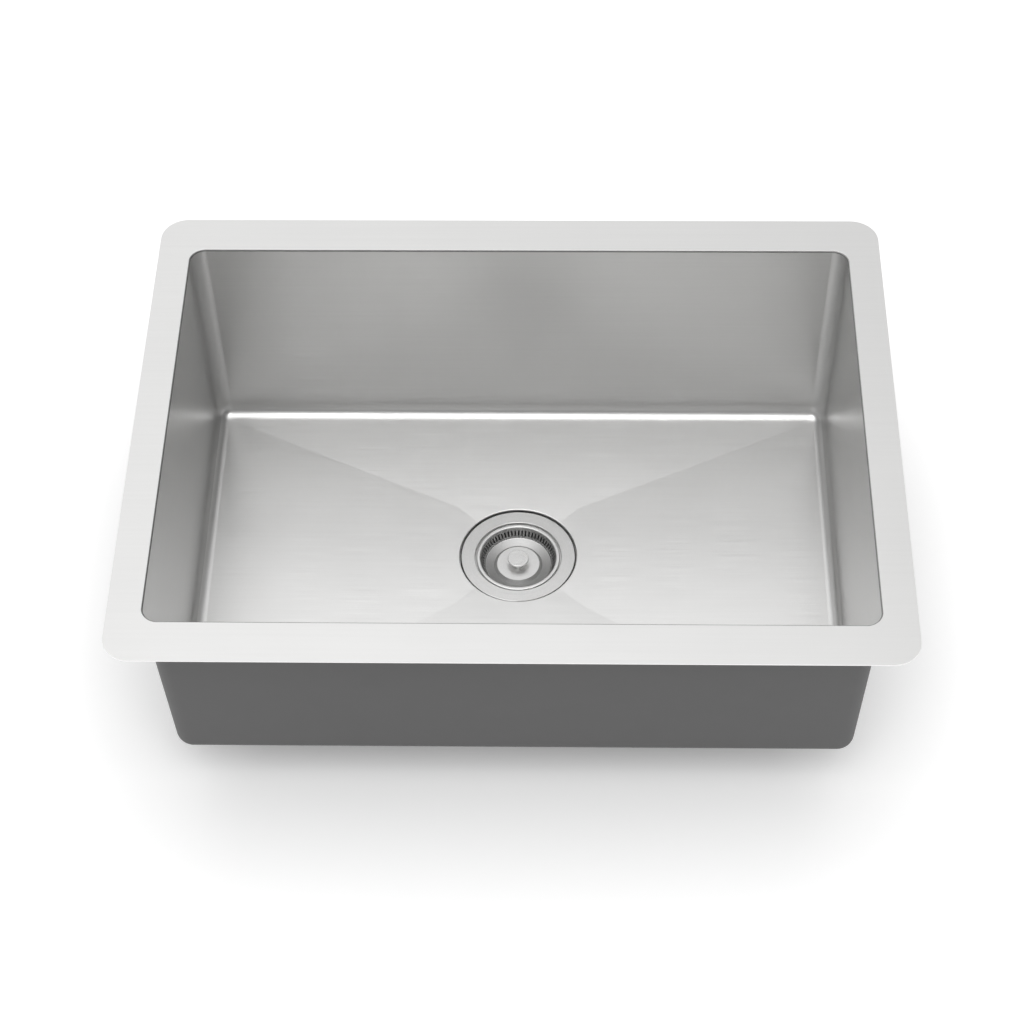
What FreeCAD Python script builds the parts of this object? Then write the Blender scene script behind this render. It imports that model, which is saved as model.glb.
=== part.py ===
"""Undermount kitchen sink with its basket strainer, as separate pieces.

Axes: +X to the right, +Y to the back, +Z up.  The origin is the centre of the
rim's top face, which is pressed up against the underside of the worktop.
All sizes are in millimetres.
"""
import FreeCAD, Part
import math
import os
import re
import Sketcher

# Every driving size, by name.
SIZES = {
    # the pressed bowl and its flat rim
    "overall_width": 680.0,
    "overall_depth": 520.0,
    "bowl_depth": 224.0,
    "sheet_thickness": 1.2,
    "side_rim": 30.5,
    "front_rim": 41.0,
    "back_rim": 41.0,
    "rim_corner_radius": 25.0,
    "wall_corner_radius": 14.0,
    "floor_radius": 12.0,
    "rim_bend_radius": 1.5,
    "side_draft": 4.0,
    "back_draft": 4.0,
    "front_draft": 25.0,
    "floor_fall": 3.0,
    # the recess pressed round the drain hole
    "drain_back_offset": 33.0,
    "flange_sink": 2.0,
    "recess_gap": 1.4,
    "recess_margin": 2.0,
    "recess_edge_radius": 1.0,
    "hole_clearance": 1.6,
    # what is stuck to the outside of the bowl
    "coat_thickness": 0.8,
    "coat_top_gap": 3.0,
    "coat_drain_gap": 4.0,
    "pad_thickness": 3.0,
    "pad_width": 125.0,
    "pad_depth": 190.0,
    "pad_corner_radius": 8.0,
    "pad_wall_gap": 35.0,
    "pad_back_offset": 22.0,
    # the strainer cup that is clamped in the drain hole
    "flange_radius": 55.0,
    "flange_edge_radius": 0.5,
    "strainer_sheet": 1.2,
    "throat_radius": 41.6,
    "throat_depth": 4.0,
    "throat_edge_radius": 0.8,
    "cup_radius": 39.2,
    "cup_wall": 2.0,
    "funnel_start": 22.0,
    "funnel_height": 10.0,
    "funnel_end_radius": 24.0,
    "outlet_radius": 19.0,
    "spigot_wall": 4.8,
    "spigot_length": 30.0,
    "cross_bar_count": 4.0,
    "cross_bar_width": 3.0,
    "cross_bar_height": 4.0,
    "cross_bar_drop": 4.0,
    "cross_hub_radius": 5.0,
    # what clamps and seals it
    "flange_seal_thickness": 1.5,
    "flange_seal_bulge": 0.9,
    "gasket_thickness": 3.0,
    "gasket_radius": 54.5,
    "washer_thickness": 1.0,
    "washer_radius": 53.5,
    "locknut_height": 12.0,
    "locknut_flange_radius": 52.0,
    "locknut_flange_thickness": 2.5,
    "locknut_wall": 4.5,
    "locknut_lug_count": 8.0,
    "locknut_lug_width": 5.0,
    "locknut_lug_setback": 1.0,
    "thread_clearance": 0.1,
    "seal_clearance": 0.4,
    # the tail end
    "tail_washer_thickness": 2.0,
    "coupling_height": 19.0,
    "coupling_wall": 5.0,
    "coupling_flange_thickness": 3.0,
    "coupling_bore_radius": 19.6,
    "coupling_lug_count": 6.0,
    "coupling_lug_width": 7.0,
    "coupling_lug_rise": 3.5,
    # the lift-out basket
    "basket_sheet": 0.8,
    "basket_clearance": 1.2,
    "basket_seat_clearance": 0.3,
    "basket_lip_drop": 1.0,
    "basket_lip_width": 3.9,
    "basket_lip_edge_radius": 1.1,
    "basket_depth": 11.5,
    "basket_floor_radius": 31.4,
    "basket_dish_drop": 2.5,
    "basket_dish_radius": 23.5,
    "basket_disc_radius": 20.5,
    "slot_count": 64.0,
    "slot_width": 1.5,
    "slot_top_margin": 1.2,
    "slot_floor_margin": 1.3,
    # the stopper that slides in the basket
    "post_radius": 3.0,
    "post_clearance": 0.05,
    "post_tip": 0.8,
    "tenon_radius": 2.0,
    "tenon_length": 1.1,
    "tenon_clearance": 0.05,
    "knob_radius": 10.2,
    "knob_thickness": 1.8,
    "knob_drop": 3.0,
    "knob_edge_radius": 0.6,
    "knob_clearance": 0.3,
    "bush_radius": 6.3,
    "bush_neck_radius": 4.45,
    "bush_neck_clearance": 0.05,
    "bush_rivet_radius": 6.5,
    "bush_rivet_thickness": 1.0,
    "grip_ring_thickness": 1.3,
    "grip_ring_clearance": 0.1,
    "grip_ring_play": 0.05,
    "grip_groove_drop": 3.0,
    "stopper_travel": 7.0,
    "stopper_end_gap": 0.5,
    "collar_radius": 5.0,
    "collar_thickness": 1.2,
    "stopper_seal_step_radius": 19.0,
    "stopper_seal_step": 1.2,
    "stopper_seal_edge": 2.3,
    "stopper_seal_thickness": 4.0,
    "backing_radius": 24.0,
    "backing_thickness": 1.2,
    "post_nut_radius": 5.5,
    "post_nut_height": 4.0,
}

NAME = re.compile(r"[a-z_]+")


def bind(text):
    """Turn size names in an expression into references to the sheet."""
    return NAME.sub(lambda found: "Sizes." + found.group() if found.group() in SIZES
                    else found.group(), str(text))


# ---- heights and outlines worked out from the sizes ----
# Heights in the bowl's own frame, below the rim's top face.
FLOOR_LOW = "(bowl_depth + floor_fall)"
FLANGE_TOP = "(bowl_depth + floor_fall + flange_sink)"
RECESS_FLOOR = "(bowl_depth + floor_fall + flange_sink + strainer_sheet + flange_seal_thickness)"
COAT_OUTSIDE = "(sheet_thickness + coat_thickness)"
RECESS_RADIUS = "(flange_radius + recess_gap)"
RECESS_SQUARE = "(flange_radius + recess_gap + recess_margin)"
THROAT_OUTSIDE = "(throat_radius + strainer_sheet)"
HOLE_RADIUS = "(throat_radius + strainer_sheet + hole_clearance)"
CUP_OUTSIDE = "(cup_radius + cup_wall)"
OPENING_SIDE = "(overall_width / 2 - side_rim)"
OPENING_FRONT = "(overall_depth / 2 - front_rim)"
OPENING_BACK = "(overall_depth / 2 - back_rim)"
PAD_SIDE = "(" + OPENING_SIDE + " - pad_wall_gap - pad_width / 2)"

# Heights in the drain's frame, below the strainer flange's top face.
GASKET_TOP = "(strainer_sheet + flange_seal_thickness + sheet_thickness)"
WASHER_TOP = "(" + GASKET_TOP + " + gasket_thickness)"
LOCKNUT_TOP = "(" + WASHER_TOP + " + washer_thickness)"
FUNNEL_END = "(funnel_start + funnel_height)"
SPIGOT_TOP = "(" + FUNNEL_END + " + cup_wall)"
SPIGOT_END = "(" + SPIGOT_TOP + " + spigot_length)"
SPIGOT_OUTSIDE = "(outlet_radius + spigot_wall)"
COUPLING_END = "(" + SPIGOT_END + " + tail_washer_thickness + coupling_flange_thickness)"
LIP_OUTSIDE = "(throat_radius - basket_clearance)"
LIP_INSIDE = "(throat_radius - basket_clearance - basket_lip_width)"
LIP_UNDER = "(throat_depth - basket_seat_clearance)"
DISC_UNDER = "(basket_depth + basket_sheet)"
KNOB_UNDER = "(knob_drop + knob_thickness)"
BUSH_TOP = "(" + KNOB_UNDER + " + knob_clearance)"
BUSH_END = "(" + DISC_UNDER + " + bush_rivet_thickness)"
COLLAR_TOP = "(" + BUSH_END + " + stopper_travel + stopper_end_gap)"
SEAL_TOP = "(" + COLLAR_TOP + " + collar_thickness)"
SEAL_END = "(" + SEAL_TOP + " + stopper_seal_step + stopper_seal_thickness)"
BACKING_END = "(" + SEAL_END + " + backing_thickness)"
POST_NUT_END = "(" + BACKING_END + " + post_nut_height)"
BORE_RADIUS = "(post_radius + post_clearance)"

document = FreeCAD.newDocument("undermount_sink")
sheet = document.addObject("Spreadsheet::Sheet", "Sizes")
for row, (alias, value) in enumerate(SIZES.items(), start=1):
    sheet.set("A%d" % row, alias)
    sheet.set("B%d" % row, str(value))
    sheet.setAlias("B%d" % row, alias)
document.recompute()
pieces = []


def number(text):
    """Work an expression out with the sheet's present values."""
    return float(sheet.evalExpression(bind(text)))


# ---- helpers that make bodies, sketches and features ----
def new_body(name):
    body = document.addObject("PartDesign::Body", name)
    body.Label = name
    pieces.append(body)
    return body


def own_plane(body, role):
    for feature in body.Origin.OriginFeatures:
        if feature.Role == role:
            return feature


def new_sketch(body, name, role="XY_Plane", height="0"):
    """An empty sketch on one of the body's planes, moved along its normal."""
    sketch = body.newObject("Sketcher::SketchObject", name)
    sketch.AttachmentSupport = [(own_plane(body, role), "")]
    sketch.MapMode = "FlatFace"
    sketch.setExpression("AttachmentOffset.Base.z", bind(height))
    return sketch


def drive(sketch, kind, first, first_point, second, second_point, expression):
    """A distance between two sketch points that follows an expression."""
    value = number(expression)
    place = sketch.addConstraint(
        Sketcher.Constraint(kind, first, first_point, second, second_point, value))
    label = "size_%d" % place
    sketch.renameConstraint(place, label)
    sketch.setExpression("Constraints." + label, bind(expression))


def outline(body, name, points, role="XZ_Plane", height="0"):
    """A closed sketch of straight edges; each point is a pair of expressions."""
    sketch = new_sketch(body, name, role, height)
    places = [FreeCAD.Vector(number(across), number(up), 0) for across, up in points]
    for index, place in enumerate(places):
        following = places[(index + 1) % len(places)]
        sketch.addGeometry(Part.LineSegment(place, following), False)
    for index in range(len(points)):
        sketch.addConstraint(
            Sketcher.Constraint("Coincident", index, 2, (index + 1) % len(points), 1))
    for index, (across, up) in enumerate(points):
        drive(sketch, "DistanceX", -1, 1, index, 1, across)
        drive(sketch, "DistanceY", -1, 1, index, 1, up)
    return sketch


def circle(body, name, radius, height="0", across="0", up="0", role="XY_Plane"):
    sketch = new_sketch(body, name, role, height)
    add_circle(sketch, radius, across, up)
    return sketch


def add_circle(sketch, radius, across, up):
    centre = FreeCAD.Vector(number(across), number(up), 0)
    upright = FreeCAD.Vector(0, 0, 1)
    index = sketch.addGeometry(Part.Circle(centre, upright, number(radius)), False)
    drive(sketch, "DistanceX", -1, 1, index, 3, across)
    drive(sketch, "DistanceY", -1, 1, index, 3, up)
    place = sketch.addConstraint(Sketcher.Constraint("Radius", index, number(radius)))
    label = "radius_%d" % place
    sketch.renameConstraint(place, label)
    sketch.setExpression("Constraints." + label, bind(radius))


def rounded_rectangle(body, name, left, right, front, back, radius, height="0"):
    """A closed sketch of four edges joined by four tangent arcs."""
    sketch = new_sketch(body, name, "XY_Plane", height)
    west, east = number(left), number(right)
    south, north = number(front), number(back)
    bend = number(radius)
    upright = FreeCAD.Vector(0, 0, 1)
    quarter = math.pi / 2
    sides = [((west + bend, south), (east - bend, south)),
             ((east, south + bend), (east, north - bend)),
             ((east - bend, north), (west + bend, north)),
             ((west, north - bend), (west, south + bend))]
    corners = [(east - bend, south + bend), (east - bend, north - bend),
               (west + bend, north - bend), (west + bend, south + bend)]
    for turn in range(4):
        start, end = sides[turn]
        sketch.addGeometry(Part.LineSegment(FreeCAD.Vector(start[0], start[1], 0),
                                            FreeCAD.Vector(end[0], end[1], 0)), False)
        centre = FreeCAD.Vector(corners[turn][0], corners[turn][1], 0)
        arc = Part.ArcOfCircle(Part.Circle(centre, upright, bend),
                               (turn - 1) * quarter, turn * quarter)
        sketch.addGeometry(arc, False)
    for turn in range(4):
        side, corner = 2 * turn, 2 * turn + 1
        sketch.addConstraint(Sketcher.Constraint("Tangent", side, 2, corner, 1))
        sketch.addConstraint(Sketcher.Constraint("Tangent", corner, 2, (corner + 1) % 8, 1))
        sketch.addConstraint(
            Sketcher.Constraint("Horizontal" if turn % 2 == 0 else "Vertical", side))
        if turn:
            sketch.addConstraint(Sketcher.Constraint("Equal", 1, corner))
    drive(sketch, "DistanceY", -1, 1, 0, 1, front)
    drive(sketch, "DistanceX", -1, 1, 2, 1, right)
    drive(sketch, "DistanceY", -1, 1, 4, 1, back)
    drive(sketch, "DistanceX", -1, 1, 6, 1, left)
    place = sketch.addConstraint(Sketcher.Constraint("Radius", 1, bend))
    sketch.renameConstraint(place, "corner_radius")
    sketch.setExpression("Constraints.corner_radius", bind(radius))
    return sketch


def extrude(body, kind, name, sketch, length, reverse=False):
    """A Pad or Pocket of the given length."""
    feature = body.newObject("PartDesign::" + kind, name)
    feature.Profile = sketch
    feature.Reversed = reverse
    feature.setExpression("Length", bind(length))
    sketch.Visibility = False
    return feature


def revolve(body, kind, name, points):
    """A Revolution or Groove about the body's Z axis."""
    sketch = outline(body, name + "_profile", points)
    feature = body.newObject("PartDesign::" + kind, name)
    feature.Profile = sketch
    feature.ReferenceAxis = (sketch, ["V_Axis"])
    feature.Angle = 360
    sketch.Visibility = False
    return feature


def pattern(body, name, features, count):
    """Equal copies all the way round the body's Z axis."""
    polar = body.newObject("PartDesign::PolarPattern", name)
    polar.Originals = features
    polar.Axis = (own_plane(body, "Z_Axis"), [""])
    polar.Angle = 360
    polar.setExpression("Occurrences", bind(count))
    body.Tip = polar
    return polar


def fillet(body, name, radius, wanted):
    """Round those edges of the body's present shape that `wanted` accepts."""
    document.recompute()
    base = body.Tip
    names = ["Edge%d" % (index + 1) for index, edge in enumerate(base.Shape.Edges)
             if wanted(edge)]
    feature = body.newObject("PartDesign::Fillet", name)
    feature.Base = (base, names)
    feature.setExpression("Radius", bind(radius))
    document.recompute()
    return feature


def close(first, second):
    return abs(first - second) < 0.01


def circles_at(radius, height):
    """Accepts circular edges of one radius at one height."""
    wanted_radius, wanted_height = number(radius), number(height)

    def wanted(edge):
        return (isinstance(edge.Curve, Part.Circle) and close(edge.Curve.Radius, wanted_radius)
                and close(edge.Curve.Center.z, wanted_height))
    return wanted


def all_at_height(height):
    """Accepts edges that lie in one level plane."""
    level = number(height)

    def wanted(edge):
        return close(edge.BoundBox.ZMin, level) and close(edge.BoundBox.ZMax, level)
    return wanted


# ---- the pressed form of the bowl, at a given distance outside its inner face ----
def wall_section(outside, depth):
    """The sharp-cornered outline of the walls at one depth: left, right, front, back."""
    side = "({0} + {1} - side_draft * {2} / bowl_depth)".format(OPENING_SIDE, outside, depth)
    front = "({0} + {1} - front_draft * {2} / bowl_depth)".format(OPENING_FRONT, outside, depth)
    back = "({0} + {1} - back_draft * {2} / bowl_depth)".format(OPENING_BACK, outside, depth)
    return "-" + side, side, "-" + front, back


def floor_edge():
    """Where the rounded foot ends and the sloping floor begins."""
    left, right, front, back = wall_section("0", "bowl_depth")
    return (left + " + floor_radius", right + " - floor_radius",
            front + " + floor_radius", back + " - floor_radius")


def drain_square():
    return ("-" + RECESS_SQUARE, RECESS_SQUARE, "drain_back_offset - " + RECESS_SQUARE,
            "drain_back_offset + " + RECESS_SQUARE)


def tapered_block(body, name, upper, upper_depth, lower, lower_depth):
    """A flat-sided block between two level rectangles (left, right, front, back)."""
    block = body.newObject("PartDesign::AdditiveWedge", name)
    block.Placement = FreeCAD.Placement(FreeCAD.Vector(), FreeCAD.Rotation(
        FreeCAD.Vector(1, 0, 0), 90))
    bounds = {
        "Ymin": "-" + lower_depth, "Ymax": "-" + upper_depth,
        "Xmin": lower[0], "Xmax": lower[1],
        "Zmin": "-({0})".format(lower[3]), "Zmax": "-({0})".format(lower[2]),
        "X2min": upper[0], "X2max": upper[1],
        "Z2min": "-({0})".format(upper[3]), "Z2max": "-({0})".format(upper[2])}
    for bound, expression in bounds.items():
        setattr(block, bound, number(expression))
    for bound, expression in bounds.items():
        block.setExpression(bound, bind(expression))
    return block


def corner_lines(outside, depth):
    """Accepts the sloping lines where two walls meet."""
    left, right, front, back = [number(value) for value in wall_section(outside, depth)]
    level = -number(depth)
    long_enough = number("bowl_depth") / 2

    def wanted(edge):
        for vertex in edge.Vertexes:
            place = vertex.Point
            if (close(place.z, level) and (close(place.x, left) or close(place.x, right))
                    and (close(place.y, front) or close(place.y, back))):
                return edge.BoundBox.ZLength > long_enough
        return False
    return wanted


def opening_loop(height):
    """Accepts the edges of the walls' outline at one height, and not the rim's own."""
    side = number(OPENING_SIDE + " + side_rim / 4")
    front, back = number(OPENING_FRONT + " + front_rim / 4"), number(OPENING_BACK + " + back_rim / 4")
    level = all_at_height(height)

    def wanted(edge):
        box = edge.BoundBox
        return level(edge) and -side < box.XMin and box.XMax < side \
            and -front < box.YMin and box.YMax < back
    return wanted


def pressed_form(name, outside, top):
    """A solid with the bowl's walls, rounded corners and foot, and four sloping facets."""
    body = document.addObject("PartDesign::Body", name)
    bottom = "(bowl_depth + {0})".format(outside)
    tapered_block(body, name + "_walls", wall_section(outside, top), top,
                  wall_section(outside, bottom), bottom)
    fillet(body, name + "_corners", "wall_corner_radius + " + outside,
           corner_lines(outside, bottom))
    fillet(body, name + "_foot", "floor_radius + " + outside, all_at_height("-" + bottom))
    tapered_block(body, name + "_floor", floor_edge(), bottom, drain_square(),
                  "({0} + floor_fall)".format(bottom))
    return body


def drain_disc(body, kind, name, radius, top, length):
    """A round Pad or Pocket about the drain's axis, downwards from one depth."""
    sketch = circle(body, name + "_outline", radius, "-" + top, up="drain_back_offset")
    return extrude(body, kind, name, sketch, length, reverse=(kind == "Pad"))


def cut(name, base, tool):
    piece = document.addObject("Part::Cut", name)
    piece.Label = name
    piece.Base = base
    piece.Tool = tool
    pieces.append(piece)
    return piece


def make_bowl_outside():
    """The whole outer form: rim, walls, foot, facets and the recess under the drain."""
    body = pressed_form("bowl_outside", "sheet_thickness", "0")
    drain_disc(body, "Pad", "recess_outside", RECESS_RADIUS + " + sheet_thickness", FLOOR_LOW,
               RECESS_FLOOR + " + sheet_thickness - " + FLOOR_LOW)
    rim = rounded_rectangle(body, "rim_outline", "-overall_width / 2", "overall_width / 2",
                            "-overall_depth / 2", "overall_depth / 2", "rim_corner_radius")
    extrude(body, "Pad", "rim", rim, "sheet_thickness", reverse=True)
    fillet(body, "outer_bend", "rim_bend_radius + sheet_thickness",
           opening_loop("-sheet_thickness"))
    return body


def make_bowl_inside():
    """The whole hollow: cavity, recess and drain hole, with the rim's bend above."""
    body = pressed_form("bowl_inside", "0", "0")
    drain_disc(body, "Pad", "recess", RECESS_RADIUS, FLOOR_LOW, RECESS_FLOOR + " - " + FLOOR_LOW)
    drain_disc(body, "Pad", "drain_hole", HOLE_RADIUS, RECESS_FLOOR, "2 * sheet_thickness")
    fillet(body, "recess_edge", "recess_edge_radius", circles_at(RECESS_RADIUS, "-" + FLOOR_LOW))
    margin = "side_rim / 2"
    above = rounded_rectangle(
        body, "above_rim_outline", "-({0} + {1})".format(OPENING_SIDE, margin),
        "{0} + {1}".format(OPENING_SIDE, margin), "-({0} + {1})".format(OPENING_FRONT, margin),
        "{0} + {1}".format(OPENING_BACK, margin), "wall_corner_radius")
    extrude(body, "Pad", "above_rim", above, "2 * sheet_thickness")
    fillet(body, "rim_bend", "rim_bend_radius", opening_loop("0"))
    return body


def make_coat_form():
    """The outer form again, one coat further out, open round the drain."""
    body = pressed_form("coat_form", COAT_OUTSIDE, "(sheet_thickness + coat_top_gap)")
    drain_disc(body, "Pocket", "drain_gap", RECESS_RADIUS + " + sheet_thickness + coat_drain_gap",
               "bowl_depth", "2 * floor_fall + 4 * " + COAT_OUTSIDE)
    return body


def make_sound_pad(name, side):
    """A rubber pad stuck under one side facet of the floor, tilted as the facet is."""
    body = new_body(name)
    fall = "floor_fall / ({0} - side_draft - floor_radius - {1})".format(
        OPENING_SIDE, RECESS_SQUARE)
    drop = "({0} - side_draft - floor_radius - {1}) * {2}".format(OPENING_SIDE, PAD_SIDE, fall)
    sketch = rounded_rectangle(body, "outline", "-pad_width / 2", "pad_width / 2",
                               "-pad_depth / 2", "pad_depth / 2", "pad_corner_radius",
                               "-(bowl_depth + {0} + {1})".format(COAT_OUTSIDE, drop))
    sketch.setExpression("AttachmentOffset.Base.x", bind("%d * %s" % (side, PAD_SIDE)))
    sketch.setExpression("AttachmentOffset.Base.y", bind("pad_back_offset"))
    sketch.AttachmentOffset = FreeCAD.Placement(
        sketch.AttachmentOffset.Base, FreeCAD.Rotation(FreeCAD.Vector(0, 1, 0), 1))
    sketch.setExpression("AttachmentOffset.Rotation.Angle",
                         bind("%d * atan(%s)" % (-side, fall)))
    extrude(body, "Pad", "pad", sketch, "pad_thickness", reverse=True)


# ---- the strainer, each piece about its own upright axis ----
def drain_body(name):
    """A body whose own origin is the centre of the strainer flange's top face."""
    body = new_body(name)
    body.setExpression("Placement.Base.y", bind("drain_back_offset"))
    body.setExpression("Placement.Base.z", bind("-" + FLANGE_TOP))
    return body


def make_ring(name, inner, outer, top, bottom):
    body = drain_body(name)
    revolve(body, "Revolution", "ring",
            [(inner, "-" + top), (outer, "-" + top), (outer, "-" + bottom), (inner, "-" + bottom)])
    return body


def make_strainer_bowl():
    """The pressed cup: flange, throat with the basket's ledge, wall and funnel."""
    body = drain_body("strainer_bowl")
    revolve(body, "Revolution", "cup", [
        ("throat_radius", "0"),
        ("flange_radius", "0"),
        ("flange_radius", "-strainer_sheet"),
        (THROAT_OUTSIDE, "-strainer_sheet"),
        (THROAT_OUTSIDE, "-(throat_depth + strainer_sheet)"),
        (CUP_OUTSIDE, "-(throat_depth + strainer_sheet)"),
        (CUP_OUTSIDE, "-(funnel_start + cup_wall / 2)"),
        ("funnel_end_radius + cup_wall / 2", "-" + SPIGOT_TOP),
        ("outlet_radius", "-" + SPIGOT_TOP),
        ("outlet_radius", "-" + FUNNEL_END),
        ("funnel_end_radius", "-" + FUNNEL_END),
        ("cup_radius", "-funnel_start"),
        ("cup_radius", "-throat_depth"),
        ("throat_radius", "-throat_depth")])
    fillet(body, "flange_edge", "flange_edge_radius", circles_at("flange_radius", "0"))
    fillet(body, "throat_edge", "throat_edge_radius", circles_at("throat_radius", "0"))


def make_outlet_spigot():
    """The threaded outlet tube with the cross bars that catch a dropped spoon."""
    body = drain_body("outlet_spigot")
    revolve(body, "Revolution", "tube", [
        ("outlet_radius", "-" + SPIGOT_TOP), (SPIGOT_OUTSIDE, "-" + SPIGOT_TOP),
        (SPIGOT_OUTSIDE, "-" + SPIGOT_END), ("outlet_radius", "-" + SPIGOT_END)])
    level = "-({0} + cross_bar_drop)".format(SPIGOT_TOP)
    hub = circle(body, "cross_hub_outline", "cross_hub_radius", level)
    extrude(body, "Pad", "cross_hub", hub, "cross_bar_height", reverse=True)
    reach = "outlet_radius + spigot_wall / 4"
    bar = outline(body, "cross_bar_outline",
                  [("0", "-cross_bar_width / 2"), (reach, "-cross_bar_width / 2"),
                   (reach, "cross_bar_width / 2"), ("0", "cross_bar_width / 2")],
                  "XY_Plane", level)
    first_bar = extrude(body, "Pad", "cross_bar", bar, "cross_bar_height", reverse=True)
    pattern(body, "cross_bars", [first_bar], "cross_bar_count")


def make_locknut():
    """The large nut under the bowl, with a bearing flange and lugs for a spanner."""
    body = drain_body("locknut")
    inner = "(" + CUP_OUTSIDE + " + thread_clearance)"
    outer = "(" + CUP_OUTSIDE + " + thread_clearance + locknut_wall)"
    end = "({0} + locknut_height)".format(LOCKNUT_TOP)
    flange_end = "({0} + locknut_flange_thickness)".format(LOCKNUT_TOP)
    revolve(body, "Revolution", "nut", [
        (inner, "-" + LOCKNUT_TOP), ("locknut_flange_radius", "-" + LOCKNUT_TOP),
        ("locknut_flange_radius", "-" + flange_end), (outer, "-" + flange_end),
        (outer, "-" + end), (inner, "-" + end)])
    lug_root = outer + " - locknut_wall / 2"
    lug_end = "locknut_flange_radius - locknut_lug_setback"
    lug = outline(body, "lug_outline", [
        (lug_root, "-locknut_lug_width / 2"), (lug_end, "-locknut_lug_width / 2"),
        (lug_end, "locknut_lug_width / 2"), (lug_root, "locknut_lug_width / 2")],
        "XY_Plane", "-" + LOCKNUT_TOP)
    first_lug = extrude(body, "Pad", "lug", lug, "locknut_height", reverse=True)
    pattern(body, "lugs", [first_lug], "locknut_lug_count")


def make_coupling_nut():
    """The nut that clamps a tailpiece and its washer against the spigot's end."""
    body = drain_body("coupling_nut")
    inner = "(" + SPIGOT_OUTSIDE + " + thread_clearance)"
    outer = "(" + SPIGOT_OUTSIDE + " + thread_clearance + coupling_wall)"
    top = "({0} - coupling_height)".format(COUPLING_END)
    shoulder = "({0} - coupling_flange_thickness)".format(COUPLING_END)
    revolve(body, "Revolution", "nut", [
        (inner, "-" + top), (outer, "-" + top), (outer, "-" + COUPLING_END),
        ("coupling_bore_radius", "-" + COUPLING_END), ("coupling_bore_radius", "-" + shoulder),
        (inner, "-" + shoulder)])
    lug_root = outer + " - coupling_wall / 2"
    lug_end = outer + " + coupling_lug_rise"
    lug = outline(body, "lug_outline", [
        (lug_root, "-coupling_lug_width / 2"), (lug_end, "-coupling_lug_width / 2"),
        (lug_end, "coupling_lug_width / 2"), (lug_root, "coupling_lug_width / 2")],
        "XY_Plane", "-" + top)
    first_lug = extrude(body, "Pad", "lug", lug, "coupling_height", reverse=True)
    pattern(body, "lugs", [first_lug], "coupling_lug_count")


def make_basket():
    """The lift-out basket: rolled lip, tapered wall with slots, dish and disc."""
    body = document.addObject("PartDesign::Body", "basket_shell")
    revolve(body, "Revolution", "shell", [
        (LIP_INSIDE, "-basket_lip_drop"),
        (LIP_OUTSIDE, "-basket_lip_drop"),
        (LIP_OUTSIDE, "-" + LIP_UNDER),
        (LIP_INSIDE + " + basket_sheet", "-" + LIP_UNDER),
        ("basket_floor_radius + basket_sheet", "-(basket_depth + basket_sheet)"),
        ("basket_dish_radius", "-(basket_depth + basket_dish_drop + basket_sheet)"),
        ("basket_disc_radius - basket_sheet", "-" + DISC_UNDER),
        ("bush_neck_radius + bush_neck_clearance", "-" + DISC_UNDER),
        ("bush_neck_radius + bush_neck_clearance", "-basket_depth"),
        ("basket_disc_radius", "-basket_depth"),
        ("basket_dish_radius", "-(basket_depth + basket_dish_drop)"),
        ("basket_floor_radius", "-basket_depth"),
        (LIP_INSIDE, "-" + LIP_UNDER)])
    fillet(body, "lip_outer_edge", "basket_lip_edge_radius",
           circles_at(LIP_OUTSIDE, "-basket_lip_drop"))
    fillet(body, "lip_inner_edge", "basket_lip_edge_radius",
           circles_at(LIP_INSIDE, "-basket_lip_drop"))
    piece = cut("basket", body, make_slots())
    piece.setExpression("Placement.Base.y", bind("drain_back_offset"))
    piece.setExpression("Placement.Base.z", bind("-" + FLANGE_TOP))


def make_slots():
    """A ring of upright blades, which cut the slots in the basket's wall."""
    top = -number(LIP_UNDER + " + slot_top_margin")
    bottom = -number("basket_depth - slot_floor_margin")
    width = number("slot_width")
    inside, outside = number("basket_dish_radius"), number(LIP_OUTSIDE)
    count = int(number("slot_count"))
    blades = []
    for place in range(count):
        blade = Part.makeBox(outside - inside, width, top - bottom,
                             FreeCAD.Vector(inside, -width / 2, bottom))
        blade.rotate(FreeCAD.Vector(), FreeCAD.Vector(0, 0, 1), 360.0 * place / count)
        blades.append(blade)
    slots = document.addObject("Part::Feature", "slots")
    slots.Shape = Part.makeCompound(blades)
    return slots


def make_guide_bush():
    """The collar riveted into the basket's disc, in which the stopper post slides."""
    body = drain_body("guide_bush")
    groove_top = "({0} + grip_groove_drop)".format(BUSH_TOP)
    groove_end = "({0} + grip_ring_thickness)".format(groove_top)
    groove_radius = "(post_radius + grip_ring_clearance + grip_ring_thickness)"
    revolve(body, "Revolution", "collar", [
        (BORE_RADIUS, "-" + BUSH_TOP), ("bush_radius", "-" + BUSH_TOP),
        ("bush_radius", "-basket_depth"), ("bush_neck_radius", "-basket_depth"),
        ("bush_neck_radius", "-" + DISC_UNDER), ("bush_rivet_radius", "-" + DISC_UNDER),
        ("bush_rivet_radius", "-" + BUSH_END), (BORE_RADIUS, "-" + BUSH_END)])
    revolve(body, "Groove", "grip_groove", [
        (BORE_RADIUS + " - post_clearance", "-" + groove_top), (groove_radius, "-" + groove_top),
        (groove_radius, "-" + groove_end), (BORE_RADIUS + " - post_clearance", "-" + groove_end)])


def make_grip_ring():
    """The square-section ring in the bush that holds the post where it is put."""
    top = "({0} + grip_groove_drop)".format(BUSH_TOP)
    make_ring("grip_ring", "(post_radius + grip_ring_clearance)",
              "(post_radius + grip_ring_clearance + grip_ring_thickness)",
              "({0} + grip_ring_play)".format(top),
              "({0} + grip_ring_thickness - grip_ring_play)".format(top))


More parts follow.
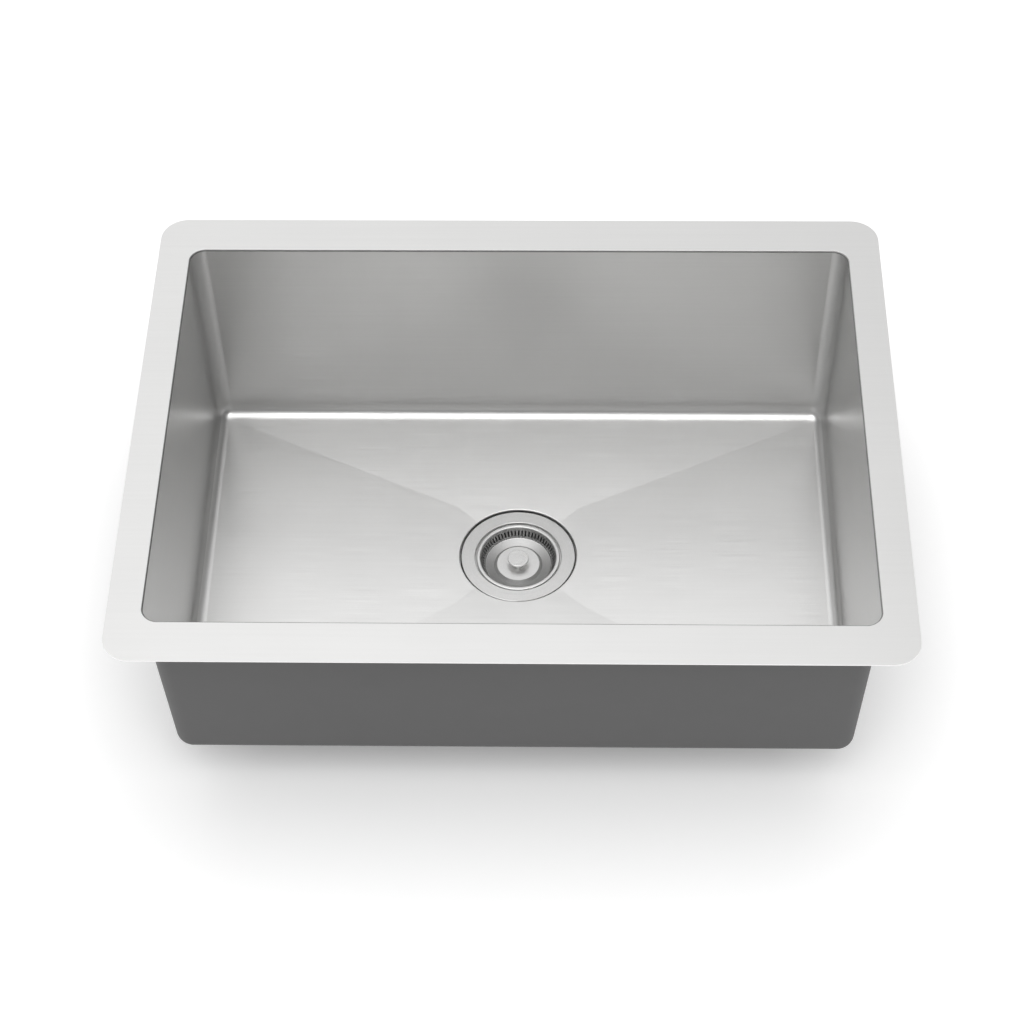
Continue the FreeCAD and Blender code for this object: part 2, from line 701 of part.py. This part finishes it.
def make_stopper_post():
    """The rod from the knob to the stopper, with the collar that limits its lift."""
    body = drain_body("stopper_post")
    tail_radius = "(tenon_radius + tenon_clearance)"
    revolve(body, "Revolution", "rod", [
        ("0", "-({0} - tenon_length)".format(KNOB_UNDER)),
        ("tenon_radius", "-({0} - tenon_length)".format(KNOB_UNDER)),
        ("tenon_radius", "-" + KNOB_UNDER), ("post_radius", "-" + KNOB_UNDER),
        ("post_radius", "-" + COLLAR_TOP), ("collar_radius", "-" + COLLAR_TOP),
        ("collar_radius", "-" + SEAL_TOP), (tail_radius, "-" + SEAL_TOP),
        (tail_radius, "-({0} + post_tip)".format(POST_NUT_END)),
        ("0", "-({0} + post_tip)".format(POST_NUT_END))])


def make_knob():
    """The flat turned knob on top of the post."""
    body = drain_body("knob")
    hole_radius = "(tenon_radius + tenon_clearance)"
    hole_top = "-({0} - tenon_length - tenon_clearance)".format(KNOB_UNDER)
    revolve(body, "Revolution", "cap", [
        ("0", "-knob_drop"), ("knob_radius", "-knob_drop"), ("knob_radius", "-" + KNOB_UNDER),
        (hole_radius, "-" + KNOB_UNDER), (hole_radius, hole_top), ("0", hole_top)])
    fillet(body, "top_edge", "knob_edge_radius", circles_at("knob_radius", "-knob_drop"))


def funnel_radius(depth):
    """The funnel's inner radius at one depth, less the stopper's running gap."""
    return ("(cup_radius - (cup_radius - funnel_end_radius) * ({0} - funnel_start)"
            " / funnel_height - seal_clearance)").format(depth)


def make_stopper_seal():
    """The rubber plug that closes the funnel when the knob is down."""
    body = drain_body("stopper_seal")
    step = "({0} + stopper_seal_step)".format(SEAL_TOP)
    edge = "({0} + stopper_seal_edge)".format(step)
    hole_radius = "(tenon_radius + 2 * tenon_clearance)"
    revolve(body, "Revolution", "plug", [
        (hole_radius, "-" + SEAL_TOP), ("stopper_seal_step_radius", "-" + SEAL_TOP),
        ("stopper_seal_step_radius + stopper_seal_step", "-" + step),
        (funnel_radius(edge), "-" + step),
        (funnel_radius(edge), "-" + edge),
        (funnel_radius(SEAL_END), "-" + SEAL_END), (hole_radius, "-" + SEAL_END)])


def make_post_fasteners():
    """The washer that backs the rubber plug and the nut that holds both."""
    hole_radius = "(tenon_radius + 2 * tenon_clearance)"
    make_ring("backing_washer", hole_radius, "backing_radius", SEAL_END, BACKING_END)
    body = drain_body("post_nut")
    corners = [("post_nut_radius * cos(%d)" % angle, "post_nut_radius * sin(%d)" % angle)
               for angle in range(0, 360, 60)]
    hexagon = outline(body, "hexagon_outline", corners, "XY_Plane", "-" + BACKING_END)
    extrude(body, "Pad", "hexagon", hexagon, "post_nut_height", reverse=True)
    bore = circle(body, "bore_outline", hole_radius, "-" + BACKING_END)
    extrude(body, "Pocket", "bore", bore, "post_nut_height")


bowl_outside = make_bowl_outside()
cut("bowl", bowl_outside, make_bowl_inside())
cut("undercoating", make_coat_form(), bowl_outside)
make_sound_pad("sound_pad_left", -1)
make_sound_pad("sound_pad_right", 1)
make_ring("flange_seal", HOLE_RADIUS, "flange_radius + flange_seal_bulge",
          "strainer_sheet", "(strainer_sheet + flange_seal_thickness)")
make_strainer_bowl()
make_outlet_spigot()
make_ring("under_gasket", THROAT_OUTSIDE + " + seal_clearance", "gasket_radius",
          GASKET_TOP, WASHER_TOP)
make_ring("friction_washer", CUP_OUTSIDE + " + seal_clearance", "washer_radius",
          WASHER_TOP, LOCKNUT_TOP)
make_locknut()
make_ring("tail_washer", "coupling_bore_radius", SPIGOT_OUTSIDE + " - seal_clearance",
          SPIGOT_END, "(" + SPIGOT_END + " + tail_washer_thickness)")
make_coupling_nut()
make_basket()
make_guide_bush()
make_grip_ring()
make_knob()
make_stopper_post()
make_stopper_seal()
make_post_fasteners()

document.recompute()
for thing in document.Objects:
    if "Invalid" in thing.State or "Error" in thing.State:
        raise RuntimeError("%s failed: %s" % (thing.Label, thing.State))
for piece in pieces:
    if piece.Shape.isNull() or not piece.Shape.isValid() or len(piece.Shape.Solids) != 1:
        raise RuntimeError("%s has no single valid solid" % piece.Label)

os.makedirs("parts", exist_ok=True)
for piece in pieces:
    piece.Shape.exportStep(os.path.join("parts", piece.Label + ".step"))
    box = piece.Shape.BoundBox
    print("%-18s volume %10.1f  x %.1f..%.1f  y %.1f..%.1f  z %.1f..%.1f" % (
        piece.Label, piece.Shape.Volume, box.XMin, box.XMax, box.YMin, box.YMax,
        box.ZMin, box.ZMax))
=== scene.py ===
"""The looks of an undermount kitchen sink with its basket strainer.

Everything is in metres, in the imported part's own frame: +X right, +Y back,
+Z up, with the origin at the centre of the rim's top face.
"""
import math

import bmesh
import bpy
from mathutils import Euler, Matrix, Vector


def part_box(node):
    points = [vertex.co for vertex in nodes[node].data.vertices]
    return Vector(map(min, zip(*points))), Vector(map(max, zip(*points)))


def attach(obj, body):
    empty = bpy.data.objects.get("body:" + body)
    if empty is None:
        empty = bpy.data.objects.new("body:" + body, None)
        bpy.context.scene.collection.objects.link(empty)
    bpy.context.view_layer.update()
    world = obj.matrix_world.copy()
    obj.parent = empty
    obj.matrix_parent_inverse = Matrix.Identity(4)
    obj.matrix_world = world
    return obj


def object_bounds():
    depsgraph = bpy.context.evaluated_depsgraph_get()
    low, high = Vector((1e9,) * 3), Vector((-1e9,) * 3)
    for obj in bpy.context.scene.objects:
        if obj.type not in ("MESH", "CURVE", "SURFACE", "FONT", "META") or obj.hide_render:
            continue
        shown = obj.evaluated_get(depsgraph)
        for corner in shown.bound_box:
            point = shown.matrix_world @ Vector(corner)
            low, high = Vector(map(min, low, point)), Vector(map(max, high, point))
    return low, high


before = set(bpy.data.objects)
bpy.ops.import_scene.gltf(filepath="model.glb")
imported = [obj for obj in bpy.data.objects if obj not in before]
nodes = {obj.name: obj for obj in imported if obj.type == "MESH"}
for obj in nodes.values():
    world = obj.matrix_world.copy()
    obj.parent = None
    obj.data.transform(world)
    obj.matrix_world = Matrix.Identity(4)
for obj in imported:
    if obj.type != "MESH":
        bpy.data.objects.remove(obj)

cad_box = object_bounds()
scene = bpy.context.scene
MM = 0.001


# ---- shader sums in plain Python ----
class Wire:
    """A shader value that can be added, multiplied and compared in Python."""

    def __init__(self, graph, socket):
        self.graph = graph
        self.socket = socket

    def _math(self, operation, first, second):
        return self.graph.node("ShaderNodeMath", {"operation": operation}, [first, second])

    def __add__(self, other):
        return self._math("ADD", self, other)

    def __radd__(self, other):
        return self._math("ADD", other, self)

    def __sub__(self, other):
        return self._math("SUBTRACT", self, other)

    def __rsub__(self, other):
        return self._math("SUBTRACT", other, self)

    def __mul__(self, other):
        return self._math("MULTIPLY", self, other)

    def __rmul__(self, other):
        return self._math("MULTIPLY", other, self)

    def __truediv__(self, other):
        return self._math("DIVIDE", self, other)

    def __pow__(self, other):
        return self._math("POWER", self, other)

    def __lt__(self, other):
        return self._math("LESS_THAN", self, other)

    def __gt__(self, other):
        return self._math("GREATER_THAN", self, other)

    def __neg__(self):
        return self._math("SUBTRACT", 0.0, self)

    def __abs__(self):
        return self._math("ABSOLUTE", self, 0.0)

    def at_least(self, other):
        return self._math("MAXIMUM", self, other)

    def at_most(self, other):
        return self._math("MINIMUM", self, other)

    def clamped(self):
        return self.at_least(0.0).at_most(1.0)


class Graph:
    """A material's nodes, each made by one call."""

    def __init__(self, name):
        self.material = bpy.data.materials.new(name)
        self.material.use_nodes = True
        self.tree = self.material.node_tree
        self.tree.nodes.clear()

    def node(self, kind, settings=None, inputs=None, output=0):
        """Add a node: its settings first, then the values or links of its sockets."""
        made = self.tree.nodes.new(kind)
        for name, value in (settings or {}).items():
            setattr(made, name, value)
        pairs = inputs.items() if isinstance(inputs, dict) else enumerate(inputs or [])
        for key, value in pairs:
            if isinstance(value, Wire):
                self.tree.links.new(value.socket, made.inputs[key])
            else:
                made.inputs[key].default_value = value
        return Wire(self, made.outputs[output]) if made.outputs else None

    def place(self):
        """A point's place in metres, in the part's frame at rest."""
        return self.node("ShaderNodeTexCoord", output="Object")

    def facing(self):
        """The surface's normal, in the part's frame at rest."""
        return self.node("ShaderNodeTexCoord", output="Normal")

    def parts(self, vector):
        return [self.node("ShaderNodeSeparateXYZ", None, [vector], axis) for axis in "XYZ"]

    def vector(self, x, y, z):
        return self.node("ShaderNodeCombineXYZ", None, [x, y, z])

    def noise(self, vector, scale, detail):
        return self.node("ShaderNodeTexNoise", None,
                         {"Vector": vector, "Scale": scale, "Detail": detail})

    def blend(self, amount, first, second):
        """A colour between two colours."""
        return self.node("ShaderNodeMix", {"data_type": "RGBA"},
                         {0: amount, 6: first, 7: second}, output=2)

    def steel_colour(self, tone):
        """Stainless steel's grey, which is a touch warm."""
        return self.node("ShaderNodeCombineColor", None, [tone, tone * 0.998, tone * 0.99])

    def tilted(self, lean):
        """The surface's normal, leaned by a vector."""
        normal = self.node("ShaderNodeNewGeometry", output="Normal")
        leaning = self.node("ShaderNodeVectorMath", {"operation": "ADD"}, [normal, lean])
        return self.node("ShaderNodeVectorMath", {"operation": "NORMALIZE"}, [leaning])

    def bump(self, height, strength, distance):
        return self.node("ShaderNodeBump", None,
                         {"Height": height, "Strength": strength, "Distance": distance})

    def glow(self, strength):
        return self.node("ShaderNodeEmission", None, {"Color": grey(1.0), "Strength": strength})

    def surface(self, shader):
        self.node("ShaderNodeOutputMaterial", None, {"Surface": shader})
        return self.material

    def principled(self, **sockets):
        named = {name.replace("_", " "): value for name, value in sockets.items()}
        return self.node("ShaderNodeBsdfPrincipled", None, named)


def grey(level):
    return (level, level, level, 1.0)


def around_zero(noise):
    """A noise that runs from 0 to 1, moved to run from -0.5 to 0.5."""
    return noise - 0.5


# ---- finishes ----
low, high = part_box("strainer_bowl")
DRAIN = Vector(((low.x + high.x) / 2, (low.y + high.y) / 2, high.z))

GRAIN_WIDTH = 0.12 * MM     # one scratch of the brushing
GRAIN_LENGTH = 60.0 * MM
STREAK_WIDTH = 3.0 * MM     # and the wider streaks that show
STREAK_LENGTH = 260.0 * MM
GRAIN_TONE, STREAK_TONE, CLOUD_TONE = 0.05, 0.035, 0.02     # how much each changes the tone
GRAIN_ROUGHNESS, CLOUD_ROUGHNESS = 0.08, 0.03               # and the roughness
CLOUDS_A_METRE = 9.0

FACING = 0.7                # a face looks along an axis when its normal passes this
BELOW_RIM = -100.0 * MM     # the floor is below this height, the rim above it
WALL_SHADED_TONE = 0.76            # walls are a darker tone than level faces, to come near the photograph: partly the walls' own finish, partly painted shade on the walls and their corners
LEVEL_TONE = 0.88
WALL_ROUGHNESS = 0.33
RIM_ROUGHNESS = 0.30
FLOOR_ROUGHNESS = 0.36
WALL_SLOPE = 0.6            # how steep the scratches' sides are
RIM_SLOPE = 0.15
FLOOR_SLOPE = 0.30

BEND_TOP = -0.04 * MM       # the bend round the opening lies between these heights
BEND_FOOT = -1.55 * MM
BEND_SIDE = 315.0 * MM      # and inside these
BEND_BACK = 225.0 * MM
# how much darker the bend is painted: painted shade
BEND_PAINTED_SHADE = 0.6
BEND_DULLER = 0.2

LEVEL_SQUARE = (high.x - low.x) / 2 + 3.4 * MM      # half of the level square at the drain
SIDE_FALL = 0.0128          # how steeply the floor's facets fall to the drain
BACK_FALL = 0.0268
FRONT_FALL = 0.0190


def satin_steel():
    """The bowl: brushed steel, with steeper scratches on its walls than on its level faces."""
    graph = Graph("satin_steel")
    x, y, z = graph.parts(graph.place())
    nx, _, nz = graph.parts(graph.facing())
    level = abs(nz) > FACING
    side = abs(nx) > FACING
    floor = level * (z < BELOW_RIM)
    rim = level - floor
    wall = 1.0 - level

    # level faces and the front and back walls are brushed along X, the side walls along Y
    along = x * (1.0 - side) + y * side
    across = y * level + z * wall
    grain = around_zero(graph.noise(
        graph.vector(along / GRAIN_LENGTH, across / GRAIN_WIDTH, 0.0), 1.0, 3.0))
    streaks = around_zero(graph.noise(
        graph.vector(along / STREAK_LENGTH, across / STREAK_WIDTH, 0.0), 1.0, 2.0))
    clouds = around_zero(graph.noise(graph.place(), CLOUDS_A_METRE, 3.0))

    # the bend from the rim into the walls is darkened for the photograph's thin dark line:
    # painted shade, and made duller
    painted_shade_bend = ((z < BEND_TOP) * (z > BEND_FOOT)
            * (abs(x) < BEND_SIDE) * (abs(y) < BEND_BACK))
    # the walls' darker tone is partly painted shade
    tone = (WALL_SHADED_TONE * wall + LEVEL_TONE * level + grain * GRAIN_TONE
            + streaks * STREAK_TONE + clouds * CLOUD_TONE)
    # painted shade: a dark line painted along the bend
    tone = tone * (1.0 - BEND_PAINTED_SHADE * painted_shade_bend)
    roughness = (WALL_ROUGHNESS * wall + RIM_ROUGHNESS * rim + FLOOR_ROUGHNESS * floor
                 + grain * GRAIN_ROUGHNESS + clouds * CLOUD_ROUGHNESS + BEND_DULLER * painted_shade_bend)
    slope = grain * (WALL_SLOPE * wall + RIM_SLOPE * rim + FLOOR_SLOPE * floor)

    # the creases run on to the recess over the small level square round it
    behind = y - DRAIN.y
    square = floor * (abs(x) < LEVEL_SQUARE) * (abs(behind) < LEVEL_SQUARE)
    beside = (abs(x) > abs(behind)) * square
    before = square - beside
    right = x > 0.0
    back = behind > 0.0
    lean_x = beside * SIDE_FALL * (1.0 - 2.0 * right)
    lean_y = before * (FRONT_FALL - (FRONT_FALL + BACK_FALL) * back)
    normal = graph.tilted(graph.vector(lean_x, lean_y + slope * level, slope * wall))
    return graph.surface(graph.principled(
        Base_Color=graph.steel_colour(tone), Metallic=1.0, Roughness=roughness, Normal=normal))


RING_WIDTH = 0.15 * MM      # one ring that a lathe tool leaves
BAND_WIDTH = 0.8 * MM       # and the wider bands that show
SPECKLE = 0.9 * MM          # the satin's grain
BAND_TONE = 0.10
RING_ROUGHNESS, TURNED_CLOUD_ROUGHNESS = 0.08, 0.05
TURNED_CLOUDS_A_METRE = 60.0


def turned_steel(name, tone, roughness, slope, grain=0.12, shaded_zones=()):
    """Round pieces turned on a lathe: rings about the drain's axis.

    Each zone lies between two radii and two heights, and has its own tone and roughness."""
    graph = Graph(name)
    x, y, z = graph.parts(graph.place())
    back = y - DRAIN.y
    radius = (x * x + back * back) ** 0.5
    rings = around_zero(graph.noise(
        graph.vector(radius / RING_WIDTH, z / RING_WIDTH, 0.0), 1.0, 2.0))
    bands = around_zero(graph.noise(
        graph.vector(radius / BAND_WIDTH, z / BAND_WIDTH, 0.0), 1.0, 2.0))
    clouds = around_zero(graph.noise(graph.place(), TURNED_CLOUDS_A_METRE, 2.0))
    speckle = around_zero(graph.noise(graph.place(), 1.0 / SPECKLE, 1.0))
    shade = tone + bands * BAND_TONE + speckle * grain
    rough = roughness + rings * RING_ROUGHNESS + clouds * TURNED_CLOUD_ROUGHNESS
    # a zone's own tone is painted shade
    for inner, outer, bottom, top, zone_shaded_tone, zone_roughness in shaded_zones:
        inside = (radius > inner) * (radius < outer) * (z > bottom) * (z < top)
        shade = shade + inside * (zone_shaded_tone - tone)
        rough = rough + inside * (zone_roughness - roughness)
    tilt = rings * slope / (radius + 0.1 * MM)      # never divided by zero at the axis
    normal = graph.tilted(graph.vector(x * tilt, back * tilt, 0.0))
    return graph.surface(graph.principled(
        Base_Color=graph.steel_colour(shade), Metallic=1.0, Roughness=rough, Normal=normal))


MOTTLE = 0.1                # how much lighter and darker a plain skin is in places
MOTTLES_A_METRE = 25.0
MOTTLE_ROUGHNESS = 0.1
SKIN_STRENGTH = 0.6


def plain(name, colour, roughness, grain, depth, metallic=0.0):
    """A cast, moulded, sprayed or rubber surface with a fine skin."""
    graph = Graph(name)
    skin = graph.noise(graph.place(), 1.0 / grain, 3.0)
    clouds = graph.noise(graph.place(), MOTTLES_A_METRE, 3.0)
    light = tuple(part * (1.0 + MOTTLE) for part in colour) + (1.0,)
    dark = tuple(part * (1.0 - MOTTLE) for part in colour) + (1.0,)
    return graph.surface(graph.principled(
        Base_Color=graph.blend(clouds, dark, light), Metallic=metallic,
        Roughness=roughness + around_zero(clouds) * MOTTLE_ROUGHNESS,
        Normal=graph.bump(skin, SKIN_STRENGTH, depth)))


def dress(finish, *names):
    """Give CAD nodes a finish."""
    for name in names:
        mesh = nodes[name].data
        mesh.materials.clear()
        mesh.materials.append(finish)


# each zone: radii, heights, tone and roughness, set darker to come near the photograph: painted
# shade on the basket's wall and dish
BASKET_WALL_SHADE = (31.0 * MM, 37.2 * MM, DRAIN.z - 11.2 * MM, DRAIN.z - 3.2 * MM, 0.50, 0.42)
BASKET_DISH_SHADE = (20.6 * MM, 31.2 * MM, DRAIN.z - 15.5 * MM, DRAIN.z - 11.3 * MM, 0.50, 0.48)

pressed = turned_steel("strainer_steel", tone=0.78, roughness=0.34, slope=0.3)
plated = turned_steel("plated_outlet", tone=0.66, roughness=0.18, slope=0.1, grain=0.03)
dress(satin_steel(), "bowl")
dress(pressed, "strainer_bowl", "backing_washer")
dress(plated, "outlet_spigot", "coupling_nut")
dress(turned_steel("basket_steel", tone=0.84, roughness=0.38, slope=0.3,
                   shaded_zones=(BASKET_WALL_SHADE, BASKET_DISH_SHADE)), "basket")
dress(turned_steel("turned_knob", tone=0.88, roughness=0.28, slope=0.15, grain=0.04),
      "guide_bush", "knob", "stopper_post", "post_nut")
dress(plain("grey_coat", (0.125, 0.125, 0.125), roughness=0.62, grain=1.2 * MM,
            depth=0.12 * MM), "undercoating")
dress(plain("pad_rubber", (0.045, 0.045, 0.045), roughness=0.75, grain=1.5 * MM,
            depth=0.1 * MM), "sound_pad_left", "sound_pad_right")
dress(plain("seal_rubber", (0.02, 0.02, 0.02), roughness=0.6, grain=0.8 * MM,
            depth=0.03 * MM), "flange_seal", "under_gasket", "grip_ring", "stopper_seal")
dress(plain("fibre", (0.36, 0.27, 0.17), roughness=0.8, grain=0.6 * MM,
            depth=0.05 * MM), "friction_washer")
dress(plain("cast_metal", (0.52, 0.52, 0.51), roughness=0.42, grain=0.9 * MM,
            depth=0.06 * MM, metallic=1.0), "locknut")
dress(plain("washer_plastic", (0.72, 0.72, 0.69), roughness=0.45, grain=1.0 * MM,
            depth=0.02 * MM), "tail_washer")

for node in nodes.values():
    for face in node.data.polygons:
        face.use_smooth = True


# ---- threads, wound on the pieces that the CAD leaves plain ----
STEPS_A_TURN = 96
ROOT_DEPTH = 0.15 * MM      # a ridge starts this far inside the tube
ROOT_HALF = 0.42            # half the ridge's width at its root, in pitches
CREST_HALF = 0.12           # and at its crest
CUP_RADIUS = 41.2 * MM


def wind_thread(name, radius, top, bottom, pitch, rise, finish):
    """A pointed ridge wound round the drain's axis, which fades out at both ends."""
    turns = (top - bottom) / pitch - 1.0
    steps = round(turns * STEPS_A_TURN)
    root = radius - ROOT_DEPTH
    ridge = bmesh.new()
    sections = []
    for step in range(steps + 1):
        angle = 2.0 * math.pi * step / STEPS_A_TURN
        height = top - 0.5 * pitch - turns * pitch * step / steps
        fade = min(1.0, min(step, steps - step) / (STEPS_A_TURN / 4.0))
        crest = root + (rise + ROOT_DEPTH) * fade
        section = [(root, height + ROOT_HALF * pitch), (crest, height + CREST_HALF * pitch),
                   (crest, height - CREST_HALF * pitch), (root, height - ROOT_HALF * pitch)]
        sections.append([ridge.verts.new((DRAIN.x + reach * math.cos(angle),
                                          DRAIN.y + reach * math.sin(angle), level))
                         for reach, level in section])
    for first, second in zip(sections, sections[1:]):
        for corner in range(4):
            following = (corner + 1) % 4
            ridge.faces.new((first[corner], first[following],
                             second[following], second[corner]))
    ridge.faces.new(sections[0][::-1])
    ridge.faces.new(sections[-1])
    bmesh.ops.recalc_face_normals(ridge, faces=ridge.faces)
    mesh = bpy.data.meshes.new(name)
    ridge.to_mesh(mesh)
    ridge.free()
    mesh.materials.append(finish)
    piece = bpy.data.objects.new(name, mesh)
    scene.collection.objects.link(piece)
    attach(piece, "sink")


spigot_low, spigot_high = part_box("outlet_spigot")
nut_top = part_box("coupling_nut")[1].z
locknut_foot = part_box("locknut")[0].z
wind_thread("spigot_thread", (spigot_high.x - spigot_low.x) / 2,
            top=spigot_high.z - 1.0 * MM, bottom=nut_top + 0.2 * MM,
            pitch=2.2 * MM, rise=0.9 * MM, finish=plated)
wind_thread("cup_thread", CUP_RADIUS,
            top=locknut_foot - 0.1 * MM, bottom=locknut_foot - 3.1 * MM,
            pitch=1.4 * MM, rise=0.6 * MM, finish=pressed)


# ---- floor ----
FLOOR_HALF = 6.0
FLOOR_GAP = 0.5 * MM        # between the floor and the part
FLOOR_SHADOWED_LIFT = 0.22           # the floor's own glow to the eye under the part, kept low there as a painted shadow
FLOOR_FAR_LIFT = 0.6        # and away from it
PAINTED_SHADOW_HALF_X, PAINTED_SHADOW_HALF_Y = 0.24, 0.16       # the glow grows from this half size
PAINTED_SHADOW_REACH = 0.3                            # over this distance


def make_floor():
    height = cad_box[0][2] - FLOOR_GAP
    corners = [(-1, -1), (1, -1), (1, 1), (-1, 1)]
    mesh = bpy.data.meshes.new("studio_floor")
    mesh.from_pydata([(FLOOR_HALF * right, FLOOR_HALF * back, height)
                      for right, back in corners], [], [(0, 1, 2, 3)])
    floor = bpy.data.objects.new("studio_floor", mesh)
    scene.collection.objects.link(floor)
    graph = Graph("studio_floor")
    x, y, _ = graph.parts(graph.place())
    # the floor's glow is weaker near the part: a painted shadow round it
    beside = (abs(x) - PAINTED_SHADOW_HALF_X).at_least(0.0)
    before = (abs(y) - PAINTED_SHADOW_HALF_Y).at_least(0.0)
    away = ((beside * beside + before * before) ** 0.5 / PAINTED_SHADOW_REACH).clamped()
    seen = graph.node("ShaderNodeLightPath", output="Is Camera Ray")
    mirrored = graph.node("ShaderNodeLightPath", output="Is Glossy Ray")
    lift = graph.node("ShaderNodeMixShader", None, [
        seen.at_least(mirrored), graph.glow(0.0),
        graph.glow(FLOOR_SHADOWED_LIFT + away * (FLOOR_FAR_LIFT - FLOOR_SHADOWED_LIFT))])
    lit = graph.principled(Base_Color=grey(0.80), Roughness=0.9)
    mesh.materials.append(graph.surface(graph.node("ShaderNodeAddShader", None, [lit, lift])))


# ---- the world: white to the eye, and to the steel a room in bands ----
# The bands were set against the photograph's tones, from its own view. They are
# not a plain level, and the strip above clips level steel to white when seen from above.
SKY = 0.45                  # its light on everything that isn't seen in a mirror
BACK_FADE = (-0.15, 0.35)   # the room turns white from front to back
DARK_GLOSS = 0.17           # it is dark in front of the part,
HORIZON_GLOSS = 0.75        # pale near the ground,
HORIZON_FADE = (0.40, 0.60)
WINDOW_GLOSS = 0.12         # with a band of light across it at the camera's height,
WINDOW_FOOT = (0.68, 0.76)
WINDOW_TOP = (0.81, 0.86)
CENTRE_GLOSS = 1.60         # brighter in its middle
CENTRE_X = -0.02
CENTRE_FADE = (0.02, 0.12)
RIGHT_GLOSS = 0.8           # how much of it is left at the right side
LEFT_GLOSS = 0.2            # and at the left
SIDE_FADE = (0.2, 0.7)
ABOVE_GLOSS = 3.7           # the strip light straight above
ABOVE_FADE = (0.85, 0.97)
ABOVE_BEHIND = 0.55         # how much of it is left behind the part
ABOVE_BEHIND_FADE = (-0.15, 0.10)
LEVEL = 0.79                # the whole room's strength
LEAN = 0.53                 # which is greater on the left by this much


class WorldGraph(Graph):
    """The same one-call nodes, in the world's tree."""

    def __init__(self, name):
        self.world = bpy.data.worlds.new(name)
        self.world.use_nodes = True
        self.tree = self.world.node_tree
        self.tree.nodes.clear()


def ramp(value, fade):
    """0 below the fade's start, 1 above its end, straight between."""
    start, end = fade
    return ((value - start) / (end - start)).clamped()


def make_world():
    graph = WorldGraph("studio")
    x, y, z = graph.parts(graph.node("ShaderNodeTexCoord", output="Generated"))
    back = ramp(y, BACK_FADE)
    centre = 1.0 - ramp(abs(x - CENTRE_X), CENTRE_FADE)
    window = ramp(z, WINDOW_FOOT) * (1.0 - ramp(z, WINDOW_TOP))
    horizon = 1.0 - ramp(z, HORIZON_FADE)
    before = (DARK_GLOSS + (HORIZON_GLOSS - DARK_GLOSS) * horizon
              + window * (WINDOW_GLOSS + CENTRE_GLOSS * centre))
    sides = 1.0 - (1.0 - horizon) * ((1.0 - RIGHT_GLOSS) * ramp(x, SIDE_FADE)
                                     + (1.0 - LEFT_GLOSS) * ramp(-x, SIDE_FADE))
    above = ramp(z, ABOVE_FADE) * (
        ABOVE_BEHIND + (1.0 - ABOVE_BEHIND) * ramp(-y, ABOVE_BEHIND_FADE))
    room = (before + (1.0 - before) * back) * sides + ABOVE_GLOSS * above
    room = room * (LEVEL - LEAN * x)
    camera = graph.node("ShaderNodeLightPath", output="Is Camera Ray")
    glossy = graph.node("ShaderNodeLightPath", output="Is Glossy Ray")
    strength = camera + (1.0 - camera) * (glossy * room + (1.0 - glossy) * SKY)
    backdrop = graph.node("ShaderNodeBackground", None,
                          {"Color": grey(1.0), "Strength": strength})
    graph.node("ShaderNodeOutputWorld", None, {"Surface": backdrop})
    scene.world = graph.world


# ---- lamps and camera ----
LAMPS_AIM = Vector((0.0, 0.0, -0.1))


def softbox(name, place, width, height, watts):
    """A soft lamp over the part, which neither the eye nor the steel sees."""
    lamp = bpy.data.lights.new(name, "AREA")
    lamp.shape = "RECTANGLE"
    lamp.size, lamp.size_y = width, height
    lamp.energy = watts
    box = bpy.data.objects.new(name, lamp)
    scene.collection.objects.link(box)
    box.location = place
    box.visible_camera = False
    box.visible_glossy = False
    box.rotation_euler = (LAMPS_AIM - Vector(place)).to_track_quat("-Z", "Y").to_euler()


def make_camera():
    """Solved from the outlines in the photograph, for a 36 mm wide picture."""
    lens = bpy.data.cameras.new("camera")
    lens.lens = 88.3
    lens.sensor_width = 36.0
    lens.clip_end = 50.0
    camera = bpy.data.objects.new("camera", lens)
    scene.collection.objects.link(camera)
    camera.location = (0.0423, -1.4729, 1.6779)
    camera.rotation_euler = Euler((0.6861, 0.0125, 0.0162), "XYZ")
    scene.camera = camera


make_camera()
make_world()
make_floor()
softbox("front_high", (0.0, -1.35, 2.3), width=1.3, height=1.0, watts=32.0)
softbox("overhead", (0.0, 0.3, 2.6), width=2.6, height=2.2, watts=12.0)

scene.view_settings.view_transform = "Standard"
